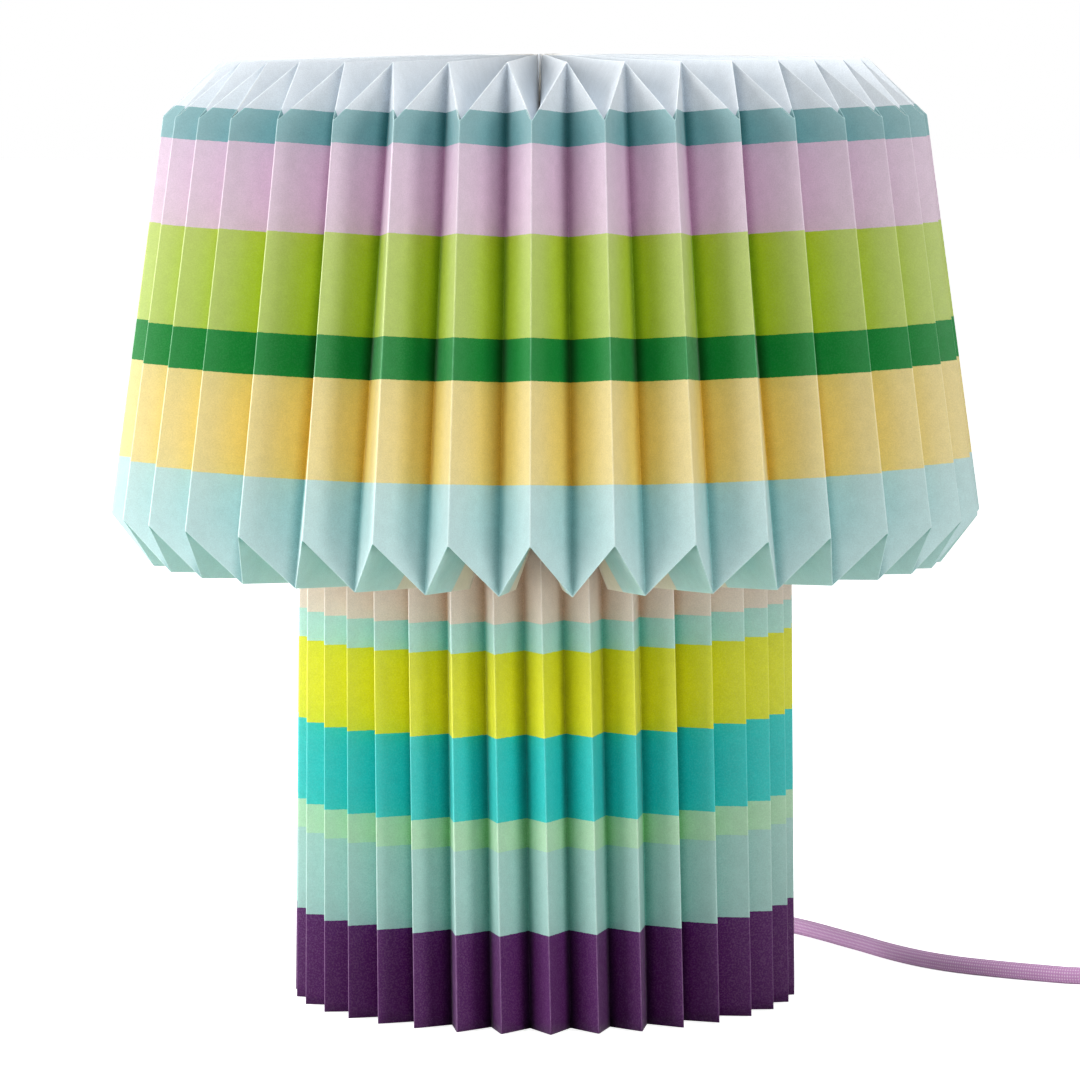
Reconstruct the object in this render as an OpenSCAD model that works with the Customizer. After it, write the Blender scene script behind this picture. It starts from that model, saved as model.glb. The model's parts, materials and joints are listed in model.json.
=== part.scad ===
// Table lamp with a pleated paper shade over a pleated paper base sleeve.
// The lamp stands on z = 0 with its axis on +Z; its front faces -Y.

/* [Pleats] */
// Number of pleats around the shade
shade_pleats = 36; // [34:1:38]
// Number of pleats around the base sleeve
sleeve_pleats = 35; // [33:1:37]
// Thickness of the folded paper
paper_t = 0.4; // [0.3:0.1:0.5]
// Width of one paper facet of the shade, between two creases
facet_w = 20.5; // [20.5:0.5:22]

/* [Shade] */
// Radius of the ridges at the lower corner of the shade
shade_low_r = 150.5; // [149:0.5:152]
// Height of the ridges' lower corner
shade_low_z = 169.4; // [168:0.2:171]
// Radius of the ridges at the upper corner of the shade
shade_top_r = 131.6; // [130:0.2:133]
// Height of the ridges' upper corner
shade_top_z = 304.4; // [300:0.2:310]
// How far the upper diagonal fold runs inwards and upwards
top_fold = [20.6, 18.9];
// How far the lower diagonal fold runs inwards and downwards
low_fold = [13.3, 17.5];
// Radius of the small hole where the upper collar's pleats gather
gather_r = 8; // [8:0.5:12]
// Radius of the opening in the lower collar
collar_r = 88.6; // [88:0.2:92]
// Angle of the first ridge from the front
shade_turn = -1.6; // [-5:0.1:5]

/* [Base] */
// Radius of the base sleeve's ridges at the foot
sleeve_low_r = 87.6; // [87:0.1:88]
// Radius of the base sleeve's ridges at the upper edge
sleeve_top_r = 85.6; // [85:0.1:86]
// Depth of the base sleeve's pleats
sleeve_depth = 12.4; // [11:0.2:13]
// Height of the base sleeve's upper edge
sleeve_top_z = 165; // [163:1:166]
// Gap between the sleeve's lower edge and the floor
sleeve_gap = 0.6; // [0.4:0.1:1]
// Angle of the first ridge at the foot, and how far the sleeve twists up to its upper edge
sleeve_turn = [1.3, -2.3];
// Thickness of the steel base plate
plate_t = 6; // [4:1:6]
// Height of the rubber feet below the plate
foot_h = 4; // [4:1:5]

/* [Frame] */
// Diameter of the shade frame's upper ring wire and uprights
wire_d = 3.5; // [3:0.5:4]
// Diameter of the lower ring wire and the arms
arm_d = 3; // [2.5:0.5:3]
// Number of uprights and arms
struts = 4; // [4:4:4]
// Radius of the upper wire ring
top_ring_r = 98; // [90:1:100]
// Radius of the lower wire ring
low_ring_r = 127; // [120:1:128]

/* [Bulb] */
// Greatest diameter of the bulb
bulb_d = 60; // [50:1:60]
// Height of the bulb's tip above its centre contact
bulb_h = 108; // [100:1:112]

/* [Mains lead] */
// Diameter of the textile mains lead
lead_d = 6;
// Radius of the coil at the middle of its turns
coil_r = 33;
// Turns lying side by side in the coil
coil_wide = 3;
// Layers of turns in the coil
coil_layers = 2;

/* [Hidden] */
$fn = 64;
eps = 0.05;
half_pleat = 180 / shade_pleats;

// Shade creases: corners, collar ends and the small slopes of both collars
top_valley = [shade_top_r - top_fold[0], shade_top_z + top_fold[1]];
low_valley = [shade_low_r - low_fold[0], shade_low_z - low_fold[1]];
top_rise = tan(0.05);
low_drop = tan(3);
top_mid_r = 45;
facet_slope = 0.46;
side_shift = paper_t / facet_slope;

function chord(r) = 2 * r * sin(half_pleat / 2);
function amplitude(r) = sqrt(facet_w * facet_w - chord(r) * chord(r));
function collar_shift(r) = min(paper_t * facet_w / chord(r), 4);
function top_groove_z(r) = shade_top_z + (shade_top_r - r) * top_rise;
function top_ridge_z(r) = top_groove_z(r) + amplitude(r);
function low_ridge_z(r) = low_valley[1] - (low_valley[0] - r) * low_drop;
function low_groove_z(r) = low_ridge_z(r) + amplitude(r);

// Base heights
plate_z = foot_h;
plate_top = plate_z + plate_t;
plate_r = 74;
disc_t = 2;
disc_top = sleeve_top_z - 2;
disc_r = 72.2;
lead_r = lead_d / 2;
lead_z = plate_top + lead_r;
foot_ring_r = 54;
stem_r = 8;
stem_bore_r = 6.8;
stem_top = 126;
flange_top = plate_top + 3;
boss_top = plate_top + 10;

// Lampholder and bulb heights
holder_r = 20;
holder_z = stem_top + 12;
holder_top = holder_z + 34;
insert_top = holder_z + 10;
contact_z = insert_top + 2.5;
thread_pitch = 3.6;
thread_turns = 5;
thread_z = insert_top + 4;
thread_r = 12.7;
thread_amp = 0.4;
cap_top = thread_z + thread_pitch * thread_turns + 3;
bulb_top = contact_z + bulb_h;
globe_r = bulb_d / 2;
globe_z = bulb_top - globe_r;

// Shade frame heights
hub_z = disc_top;
hub_t = 2;
hub_in_r = 58;
hub_out_r = 70;
pin_ring_r = 64;
pin_r = 2;
upright_r = 66;
wire_r = wire_d / 2;
arm_r = arm_d / 2;
top_ring_z = top_groove_z(top_ring_r) - collar_shift(top_ring_r) - wire_r - 0.3;
low_ring_z = low_groove_z(low_ring_r) + collar_shift(low_ring_r) + arm_r + 0.9;

// Mains lead: strain relief at the rear, then the route along the floor
relief_in = 66.5;
relief_out = 112;
relief_r = 5.6;
run_route = [[0, 112, 13], [1, 126, 11], [6, 140, 7], [16, 151, 4], [30, 157, 3],
    [45, 157, 3], [60, 152, 3], [73, 144, 3], [84, 134, 3], [93, 123, 3],
    [101, 110, 3], [109, 95, 3], [116, 82, 3], [122, 70, 3], [129, 58, 3],
    [137, 47, 3], [147, 37, 3], [160, 28, 3], [174, 20, 3], [188, 14, 3],
    [198, 11, 5], [208, 10, 8], [213, 10, 8]];
link_route = [[263, 10, 8], [268, 10, 8], [278, 9, 5.5], [288, 8, 3.5], [297, 8, 3], [304, 8, 3]];
tail_route = [[343, 47, 9], [344, 56, 8.5], [346, 66, 7.5], [347, 76, 7], [347, 86, 6.8]];
inner_route = [[0, 66.5, 13], [0, 54, 13], [0, 42, 13], [0, 31, 14.5], [0, 21, 20],
    [0, 12, 29], [0, 5, 39], [0, 1, 50], [0, 0, 62], [0, 0, 76], [0, 0, 90], [0, 0, 104],
    [0, 0, 122]];
coil_at = [304, 47, 0];
lead_sides = 10;

// Inline switch and plug
switch_at = [238, 10, 0];
switch_l = 60;
switch_w = 25;
switch_split = 8;
switch_h = 17;
rocker_l = 22;
rocker_tilt = 7;
window_l = 22.8;
rocker_w = 11;
rocker_axle_r = 1.5;
rocker_z = 14.5;
plug_at = [347, 86, 6.8];
plug_l = 36;
plug_w = 35;
plug_t = 13.6;
pin_l = 19;
pin_gap = 18.8;

// Position of a crease point: radius, height and angle from the front
function around(r, z, a) = [r * sin(a), -r * cos(a), z];

// A closed pleated paper wall. ridge and groove hold one column's stations as
// [radius, height, inward shift, upward shift, turn]; odd columns are grooves.
module pleated_wall(ridge, groove, pleats) {
    n = len(ridge);
    columns = 2 * pleats;
    half_turn = 180 / pleats;
    outer = [for (j = [0:columns - 1]) let (c = j % 2 == 0 ? ridge : groove)
        for (s = c) around(s[0], s[1], j * half_turn + s[4])];
    inner = [for (j = [0:columns - 1]) let (c = j % 2 == 0 ? ridge : groove)
        for (s = c) around(s[0] - s[2], s[1] + s[3], j * half_turn + s[4])];
    m = len(outer);
    walls = [for (j = [0:columns - 1]) for (i = [0:n - 2])
        let (k = (j + 1) % columns, a = j * n + i, b = k * n + i, flip = j % 2 == 0)
        for (f = flip ? [[a, b, b + 1], [a, b + 1, a + 1]] : [[a, b, a + 1], [b, b + 1, a + 1]])
            each [f, [f[2] + m, f[1] + m, f[0] + m]]];
    rims = [for (j = [0:columns - 1])
        let (k = (j + 1) % columns, a = j * n, b = k * n, c = a + n - 1, d = b + n - 1)
            each [[b, a, a + m], [b, a + m, b + m], [c, d, c + m], [d, d + m, c + m]]];
    polyhedron(points = concat(outer, inner), faces = concat(walls, rims), convexity = 20);
}

function unit(v) = v / norm(v);

// A tube swept along a route; side lies across the route's plane
module swept_tube(route, r, up, sides) {
    n = len(route);
    points = [for (i = [0:n - 1])
        let (t = unit(route[min(i + 1, n - 1)] - route[max(i - 1, 0)]),
            s = unit(cross(t, up)), u = cross(s, t))
        for (j = [0:sides - 1])
            route[i] + r * (cos(j * 360 / sides) * s + sin(j * 360 / sides) * u)];
    skin = [for (i = [0:n - 2]) for (j = [0:sides - 1])
        let (k = (j + 1) % sides, a = i * sides)
        each [[a + j, a + k, a + sides + k], [a + j, a + sides + k, a + sides + j]]];
    ends = [[for (j = [sides - 1:-1:0]) j], [for (j = [0:sides - 1]) (n - 1) * sides + j]];
    polyhedron(points = points, faces = concat(skin, ends), convexity = 10);
}

// Places its children at equal angles around the axis
module ring_of(count, r, first = 0) {
    for (i = [0:count - 1]) rotate([0, 0, first + i * 360 / count]) translate([r, 0, 0]) children();
}

module tube(r_out, r_in, z0, z1) {
    rotate_extrude() translate([r_in, z0]) square([r_out - r_in, z1 - z0]);
}

module disc(r, z0, z1) {
    translate([0, 0, z0]) cylinder(r = r, h = z1 - z0);
}

// A straight wire between two points that lie in one radial plane
module wire(from, to, r) {
    run = to - from;
    translate([from[0], 0, from[1]]) rotate([0, atan2(run[0], run[1]), 0]) cylinder(r = r, h = norm(run));
}

module wire_ring(ring_r, z, r) {
    rotate_extrude() translate([ring_r, z]) circle(r = r, $fn = 24);
}

// Pan-head screw pointing down, with its head's underside at z = 0
module screw(head_r, head_h, shank_r, shank_l) {
    cylinder(r = head_r, h = head_h, $fn = 24);
    translate([0, 0, -shank_l]) cylinder(r = shank_r, h = shank_l + eps, $fn = 24);
}

// ---- Shade, which lifts off the base ----

// One sheet, taken in three parts along its diagonal folds; the first and last crease
// stations of a part are its ends
module shade_part(first, last) {
    ridge = [
        [gather_r, top_groove_z(gather_r), 0, -collar_shift(gather_r), shade_turn],
        [top_mid_r, top_groove_z(top_mid_r), 0, -collar_shift(top_mid_r), shade_turn],
        [shade_top_r, shade_top_z, side_shift, -collar_shift(shade_top_r), shade_turn],
        [shade_low_r, shade_low_z, side_shift, collar_shift(shade_low_r), shade_turn],
        [collar_r, low_groove_z(collar_r), 0, collar_shift(collar_r), shade_turn]];
    groove = [
        [gather_r, top_ridge_z(gather_r), 0, -collar_shift(gather_r), shade_turn],
        [top_mid_r, top_ridge_z(top_mid_r), 0, -collar_shift(top_mid_r), shade_turn],
        [top_valley[0], top_valley[1], side_shift, -collar_shift(top_valley[0]), shade_turn],
        [low_valley[0], low_valley[1], side_shift, collar_shift(low_valley[0]), shade_turn],
        [collar_r, low_ridge_z(collar_r), 0, collar_shift(collar_r), shade_turn]];
    part = [first:last];
    pleated_wall([for (i = part) ridge[i]], [for (i = part) groove[i]], shade_pleats);
}

module shade_top_collar() {
    color("#CFDCE8") shade_part(0, 2);
}

module shade_side() {
    color("#BFD9C8") shade_part(2, 3);
}

module shade_low_collar() {
    color("#ADD9D8") shade_part(3, 4);
}

module frame_hub() {
    color("white") difference() {
        tube(hub_out_r, hub_in_r, hub_z, hub_z + hub_t);
        ring_of(3, pin_ring_r, 90) translate([0, 0, hub_z - 1]) cylinder(r = pin_r, h = hub_t + 2);
    }
}

module frame_pins() {
    color("silver") ring_of(3, pin_ring_r, 90) {
        translate([0, 0, hub_z - 5]) cylinder(r = pin_r, h = 5 + hub_t);
        translate([0, 0, hub_z - 6.5]) cylinder(r1 = pin_r - 1, r2 = pin_r, h = 1.5);
    }
}

module frame_uprights() {
    color("white") ring_of(struts, 0, 45)
        wire([upright_r, hub_z + hub_t - 0.3], [top_ring_r, top_ring_z], wire_r);
}

module frame_top_ring() {
    color("white") wire_ring(top_ring_r, top_ring_z, wire_r);
}

module frame_arms() {
    color("white") ring_of(struts, 0, 45) wire([upright_r + 1, low_ring_z], [low_ring_r, low_ring_z], arm_r);
}

module frame_low_ring() {
    color("white") wire_ring(low_ring_r, low_ring_z, arm_r);
}

// ---- Base ----

module base_paper() {
    low = sleeve_gap;
    turn = [sleeve_turn[0], sleeve_turn[0] + sleeve_turn[1]];
    ridge = [
        [sleeve_top_r, sleeve_top_z, side_shift, 0, turn[1]],
        [sleeve_low_r, low, side_shift, 0, turn[0]]];
    groove = [for (s = ridge) [s[0] - sleeve_depth, s[1], s[2], s[3], s[4]]];
    color("#10A8A0") difference() {
        pleated_wall(ridge, groove, sleeve_pleats);
        translate([-9, sleeve_low_r - 20, -1]) cube([18, 30, 22]);
    }
}

module base_plate() {
    color("dimgray") difference() {
        disc(plate_r, plate_z, plate_top);
        ring_of(4, foot_ring_r, 45) translate([0, 0, plate_z - 1]) cylinder(r = 3, h = 4);
        ring_of(3, 16, 30) translate([0, 0, plate_z - 1]) cylinder(r = 1.6, h = plate_t + 2, $fn = 24);
        for (x = [-12, 12]) translate([x, 54, plate_z - 1]) cylinder(r = 1.6, h = plate_t + 2, $fn = 24);
        translate([-8, relief_in - 1, plate_z - 1]) cube([16, 12, plate_t + 2]);
    }
}

module rubber_feet() {
    color("black") ring_of(4, foot_ring_r, 45) {
        translate([0, 0, 0]) cylinder(r1 = 7, r2 = 8, h = foot_h);
        translate([0, 0, foot_h - eps]) cylinder(r = 3, h = 2.5);
    }
}

module stem_flange() {
    color("silver") difference() {
        union() {
            disc(23, plate_top, flange_top);
            disc(12, flange_top - eps, boss_top);
        }
        disc(stem_r + 0.05, plate_top - 1, boss_top + 1);
        ring_of(3, 16, 30) translate([0, 0, plate_top - 1]) cylinder(r = 1.7, h = 6, $fn = 24);
    }
}

module flange_screws() {
    color("silver") ring_of(3, 16, 30) translate([0, 0, flange_top]) screw(3, 2, 1.6, 8);
}

module stem_tube() {
    color("silver") difference() {
        disc(stem_r, plate_top, stem_top);
        disc(stem_bore_r, plate_top - 1, stem_top + 1);
        translate([-4, 0, boss_top + 1]) cube([8, 12, 26]);
    }
}

module base_top_disc() {
    color("white") difference() {
        disc(disc_r, disc_top - disc_t, disc_top);
        disc(holder_r + 0.1, disc_top - 5, disc_top + 1);
        ring_of(3, pin_ring_r, 90) translate([0, 0, disc_top - 5]) cylinder(r = pin_r + 0.08, h = 8);
        ring_of(6, 43, 30) translate([0, 0, disc_top - 5]) cylinder(r = 7, h = 8);
    }
}

module clamp_ring(z) {
    difference() {
        union() {
            disc(28, z, z + 2);
            disc(24.5, z, z + 6);
        }
        disc(holder_r + 0.05, z - 1, z + 7);
        ring_of(12, 24.9) translate([0, 0, z + 2]) cylinder(r = 0.9, h = 6, $fn = 16);
    }
}

module clamp_ring_lower() {
    color("ivory") translate([0, 0, 2 * (disc_top - disc_t)]) mirror([0, 0, 1]) clamp_ring(disc_top - disc_t);
}

module clamp_ring_upper() {
    color("ivory") clamp_ring(disc_top);
}

module holder_cap() {
    color("ivory") rotate_extrude() polygon([[stem_r + 0.05, stem_top - 10], [11, stem_top - 10],
        [11, stem_top - 1], [17, stem_top + 3], [19, stem_top + 7], [holder_r, holder_z],
        [holder_r - 2, holder_z], [holder_r - 3, stem_top + 8], [15.5, stem_top + 5],
        [stem_r + 0.05, stem_top + 1]]);
}

module holder_shell() {
    color("ivory") tube(holder_r, holder_r - 2.4, holder_z, holder_top);
}

module holder_insert() {
    color("white") difference() {
        disc(holder_r - 2.45, holder_z, insert_top);
        disc(3, holder_z - 1, insert_top + 1);
        for (x = [-11, 11]) translate([x, 0, holder_z - 1]) cylinder(r = 2, h = 5, $fn = 24);
    }
}

// Half profile of an Edison thread: rounded ridges along the height
function thread_line(r, amp) = [for (i = [0:thread_turns * 8])
    [r + amp * cos(i * 45), thread_z + i * thread_pitch / 8]];

module holder_thread() {
    inner = thread_line(thread_r + 0.3, thread_amp);
    outer = thread_line(thread_r + 0.9, thread_amp);
    last = len(inner) - 1;
    color("gold") rotate_extrude() polygon(concat(
        [[outer[0][0], insert_top]], outer, [for (i = [last:-1:0]) inner[i]], [[inner[0][0], insert_top]]));
}

module holder_contact() {
    color("gold") {
        disc(2.6, insert_top - 4, insert_top + 1);
        translate([-2.5, -6, insert_top + 1 - eps]) cube([5, 9, 0.6]);
        disc(2.2, insert_top + 1, contact_z - 0.05);
    }
}

module cord_clamp() {
    color("black") difference() {
        union() {
            translate([-16, 50, plate_top]) cube([32, 9, 3]);
            translate([-7, 50, plate_top]) cube([14, 9, 8]);
        }
        translate([0, 49, lead_z]) rotate([-90, 0, 0]) cylinder(r = lead_r, h = 11);
        translate([-lead_r, 49, plate_top - 1]) cube([lead_d, 11, lead_r + 1]);
        for (x = [-12, 12]) translate([x, 54, plate_top - 1]) cylinder(r = 1.7, h = 6, $fn = 24);
    }
}

module clamp_screws() {
    color("silver") for (x = [-12, 12]) translate([x, 54, flange_top]) screw(3, 2, 1.6, 8);
}

// Tapered rubber boot with rings, trapped in the plate's rear notch by its flange
module strain_relief() {
    long = relief_out - relief_in;
    color("#C8A0C8") translate([0, relief_in, lead_z]) rotate([-90, 0, 0]) rotate_extrude() polygon(concat(
        [[0, 0], [7.2, 0], [7.2, 2.5], [relief_r, 2.5]],
        [for (i = [0:5]) let (y = 22 + i * 3.5, r = relief_r - 2 * (y - 2.5) / (long - 2.5))
            each [[r, y], [r - 0.6, y + 0.6], [r - 0.6, y + 1.6], [r, y + 2.2]]],
        [[lead_r + 0.7, long], [0, long]]));
}

module inner_cord() {
    color("#C8A0C8") swept_tube(inner_route, lead_r, [1, 0, 0], lead_sides);
}

// ---- Bulb, which unscrews ----

module bulb_cap() {
    line = thread_line(thread_r - 0.1, thread_amp);
    inner = thread_line(thread_r - 0.6, thread_amp);
    last = len(line) - 1;
    color("silver") rotate_extrude() polygon(concat(
        [[8, thread_z - 1]], line, [[thread_r, cap_top], [thread_r - 0.6, cap_top]],
        [for (i = [last:-1:0]) inner[i]], [[8, thread_z]]));
}

module bulb_contact() {
    color("dimgray") rotate_extrude() polygon([[0, contact_z], [3.5, contact_z], [4.5, contact_z + 0.6],
        [8, thread_z - 1], [8, thread_z], [0, thread_z]]);
}

module bulb_body() {
    neck_r = thread_r - 0.65;
    rim_z = globe_z - 11;
    color("white") rotate_extrude() polygon([[neck_r, cap_top - 3.5], [neck_r, cap_top],
        [neck_r + 1.5, cap_top], [neck_r + 3, cap_top + 3], [globe_r - 2.4, rim_z - 1],
        [globe_r - 2.4, rim_z], [globe_r - 4.5, rim_z], [globe_r - 4.5, rim_z - 3],
        [globe_r - 9, rim_z - 3], [neck_r, cap_top + 3], [neck_r - 2.3, cap_top],
        [neck_r - 2.3, cap_top - 3.5]]);
}

module bulb_globe() {
    color("white") rotate_extrude() difference() {
        translate([0, globe_z]) circle(r = globe_r, $fn = 96);
        translate([0, globe_z]) circle(r = globe_r - 1, $fn = 96);
        translate([-globe_r - 1, globe_z - globe_r - 1]) square([globe_r + 1, 2 * globe_r + 2]);
        translate([-1, globe_z - globe_r - 1]) square([globe_r + 2, globe_r - 10]);
    }
}

module led_board() {
    board_z = globe_z - 14;
    color("white") {
        disc(globe_r - 4.6, board_z, board_z + 1.6);
        ring_of(8, 15) translate([-1.5, -1.5, board_z + 1.5]) cube([3, 3, 0.9]);
    }
}

// ---- Mains lead ----

module cord_run() {
    color("#BE91BE") swept_tube(run_route, lead_r, [0, 0, 1], lead_sides);
}

module cord_link() {
    color("#BE91BE") swept_tube(link_route, lead_r, [0, 0, 1], lead_sides);
}

module cord_tail() {
    color("#BE91BE") swept_tube(tail_route, lead_r, [0, 0, 1], lead_sides);
}

module cord_coil() {
    wide = coil_wide * lead_d;
    high = coil_layers * lead_d;
    color("#BE91BE") translate(coil_at) rotate_extrude() translate([coil_r - wide / 2, 0])
        translate([lead_r, lead_r]) minkowski() {
            square([wide - lead_d, high - lead_d]);
            circle(r = lead_r, $fn = 16);
        }
}

// Strap around the coil's turns on the side nearest the lamp
module coil_tie() {
    wide = coil_wide * lead_d + 2;
    high = coil_layers * lead_d + 1;
    color("gray") translate(coil_at) translate([-coil_r - wide / 2, -6, 0]) difference() {
        cube([wide, 12, high]);
        translate([1, -1, 1]) cube([wide - 2, 14, high - 2]);
    }
}

// Rounded box with vertical corners, centred in x and y
module soft_box(l, w, z0, z1, r) {
    translate([0, 0, z0]) linear_extrude(z1 - z0) hull()
        for (x = [r - l / 2, l / 2 - r]) for (y = [r - w / 2, w / 2 - r])
            translate([x, y]) circle(r = r, $fn = 32);
}

module switch_ends(z) {
    for (x = [-switch_l / 2 - 1, switch_l / 2 - 5])
        translate([x, 0, z]) rotate([0, 90, 0]) cylinder(r = lead_r, h = 6, $fn = 32);
}

module switch_base() {
    color("#C8A0C8") translate(switch_at) difference() {
        soft_box(switch_l, switch_w, 0, switch_split, 7);
        translate([-20, -8, 2]) cube([40, 16, 10]);
        switch_ends(switch_split);
        for (x = [-24, 24]) translate([x, 7, -1]) cylinder(r = 1.3, h = 12, $fn = 24);
    }
}

module switch_cover() {
    color("#C8A0C8") translate(switch_at) difference() {
        soft_box(switch_l, switch_w, switch_split, switch_h, 7);
        translate([-20, -8, switch_split - 1]) cube([40, 16, 5]);
        translate([-window_l / 2, -rocker_w / 2 - 0.3, switch_split]) cube([window_l, rocker_w + 0.6, 12]);
        translate([0, -9, rocker_z]) rotate([-90, 0, 0]) cylinder(r = rocker_axle_r + 0.05, h = 18, $fn = 32);
        switch_ends(switch_split);
        for (x = [-24, 24]) translate([x, 7, switch_split - 1]) cylinder(r = 1.3, h = 6, $fn = 24);
    }
}

module switch_screws() {
    color("silver") translate(switch_at) for (x = [-24, 24]) translate([x, 7, 0])
        cylinder(r = 1.3, h = 12, $fn = 24);
}

// Rocker with a dished top, resting with its -X end up
module switch_rocker() {
    half = rocker_l / 2;
    color("white") translate(switch_at) translate([0, 0, rocker_z]) {
        rotate([90, rocker_tilt, 0]) linear_extrude(rocker_w, center = true) intersection() {
            circle(r = half + 0.2, $fn = 96);
            polygon([[-half, -2], [2 - half, -3.5], [half - 2, -3.5], [half, -2],
                [half, 3.2], [0, 2.2], [-half, 3.2]]);
        }
        rotate([90, 0, 0]) cylinder(r = rocker_axle_r, h = 16, center = true, $fn = 32);
    }
}

module plug_body() {
    color("#C8A0C8") translate(plug_at) rotate([0, 0, 90]) {
        hull() {
            translate([12, 0, 0]) rotate([0, 90, 0]) linear_extrude(8) offset(r = 4)
                square([plug_t - 8, 12], center = true);
            translate([plug_l - 8, 0, 0]) rotate([0, 90, 0]) linear_extrude(8) offset(r = 5)
                square([plug_t - 10.2, plug_w - 10], center = true);
        }
        rotate([0, 90, 0]) cylinder(r1 = lead_r + 0.8, r2 = lead_r + 2.4, h = 13, $fn = 48);
    }
}

module plug_pins() {
    color("silver") translate(plug_at) rotate([0, 0, 90]) for (y = [-pin_gap / 2, pin_gap / 2])
        translate([plug_l, y, 0]) rotate([0, 90, 0]) rotate_extrude() polygon([[0, 0], [2, 0], [2, pin_l - 2],
            [1.8, pin_l - 1], [1.2, pin_l - 0.3], [0, pin_l]]);
}

shade_top_collar();
shade_side();
shade_low_collar();
frame_hub();
frame_pins();
frame_uprights();
frame_top_ring();
frame_arms();
frame_low_ring();
base_paper();
base_plate();
rubber_feet();
stem_flange();
flange_screws();
stem_tube();
base_top_disc();
clamp_ring_lower();
clamp_ring_upper();
holder_cap();
holder_shell();
holder_insert();
holder_thread();
holder_contact();
cord_clamp();
clamp_screws();
strain_relief();
inner_cord();
bulb_cap();
bulb_contact();
bulb_body();
bulb_globe();
led_board();
cord_run();
switch_base();
switch_cover();
switch_screws();
switch_rocker();
cord_link();
cord_coil();
coil_tie();
cord_tail();
plug_body();
plug_pins();
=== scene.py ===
"""Pleated paper table lamp: camera and cord first, then paper, fittings, floor and lights."""
import json
import math
import random

import bmesh
import bpy
import numpy as np
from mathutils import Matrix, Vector

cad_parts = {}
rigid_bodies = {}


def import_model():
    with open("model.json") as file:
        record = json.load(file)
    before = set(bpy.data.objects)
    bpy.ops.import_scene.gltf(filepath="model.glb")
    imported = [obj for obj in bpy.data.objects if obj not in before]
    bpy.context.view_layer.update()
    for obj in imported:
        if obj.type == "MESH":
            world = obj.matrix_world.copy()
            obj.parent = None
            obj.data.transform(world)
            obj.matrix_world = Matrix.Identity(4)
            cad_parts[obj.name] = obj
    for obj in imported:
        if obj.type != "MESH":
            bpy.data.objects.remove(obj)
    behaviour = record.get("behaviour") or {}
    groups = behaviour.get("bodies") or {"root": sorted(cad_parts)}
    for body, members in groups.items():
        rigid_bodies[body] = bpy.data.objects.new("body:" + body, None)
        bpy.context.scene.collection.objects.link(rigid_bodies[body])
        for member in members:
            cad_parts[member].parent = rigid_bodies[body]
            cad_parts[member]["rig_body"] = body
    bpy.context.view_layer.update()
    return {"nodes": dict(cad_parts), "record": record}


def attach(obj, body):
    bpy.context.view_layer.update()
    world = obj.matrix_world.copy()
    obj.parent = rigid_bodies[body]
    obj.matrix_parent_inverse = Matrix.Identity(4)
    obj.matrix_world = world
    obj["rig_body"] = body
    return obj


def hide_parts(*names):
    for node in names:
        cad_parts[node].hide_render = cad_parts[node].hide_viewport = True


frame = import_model()
nodes = frame["nodes"]
scene = bpy.context.scene
MM = 0.001
rng = random.Random(36)


# ---- Camera ----------------------------------------------------------------
CAMERA_AT = (-1.8, -1845, 325)
CAMERA_DOWN = 5.17
LENS_MM = 178.3
SENSOR_MM = 36

camera = bpy.data.objects.new("camera", bpy.data.cameras.new("camera"))
camera.data.lens = LENS_MM
camera.data.sensor_width = SENSOR_MM
camera.location = [v * MM for v in CAMERA_AT]
camera.rotation_euler = (math.radians(90 - CAMERA_DOWN), 0, 0)
scene.collection.objects.link(camera)
scene.camera = camera


# ---- Mesh helpers ----------------------------------------------------------
def new_object(name, mesh, *materials, smooth=True):
    obj = bpy.data.objects.new(name, mesh)
    scene.collection.objects.link(obj)
    for material in materials:
        mesh.materials.append(material)
    if smooth:
        mesh.polygons.foreach_set("use_smooth", [True] * len(mesh.polygons))
    return obj


def grid_mesh(name, points):
    """Quads over points[column][row], closed around the columns. Columns that run
    counter-clockwise seen from above and rows that run downwards face outwards."""
    columns, rows = points.shape[:2]
    mesh = bpy.data.meshes.new(name)
    c, r = np.meshgrid(np.arange(columns), np.arange(rows - 1), indexing="ij")
    c, r = c.ravel(), r.ravel()
    d = (c + 1) % columns
    quads = np.stack([c * rows + r, c * rows + r + 1, d * rows + r + 1, d * rows + r], 1)
    mesh.from_pydata(points.reshape(-1, 3).tolist(), [], quads.tolist())
    mesh.update()
    return mesh


def float_attribute(mesh, name, values):
    layer = mesh.attributes.new(name, "FLOAT", "POINT")
    layer.data.foreach_set("value", np.asarray(values, np.float32).ravel())


def modifier(obj, kind, **settings):
    made = obj.modifiers.new(kind.lower(), kind)
    for key, value in settings.items():
        setattr(made, key, value)


# ---- Materials -------------------------------------------------------------
def srgb(code):
    parts = [int(code[i:i + 2], 16) / 255 for i in (1, 3, 5)]
    return tuple(((c + 0.055) / 1.055) ** 2.4 if c > 0.04045 else c / 12.92 for c in parts) + (1,)


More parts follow.
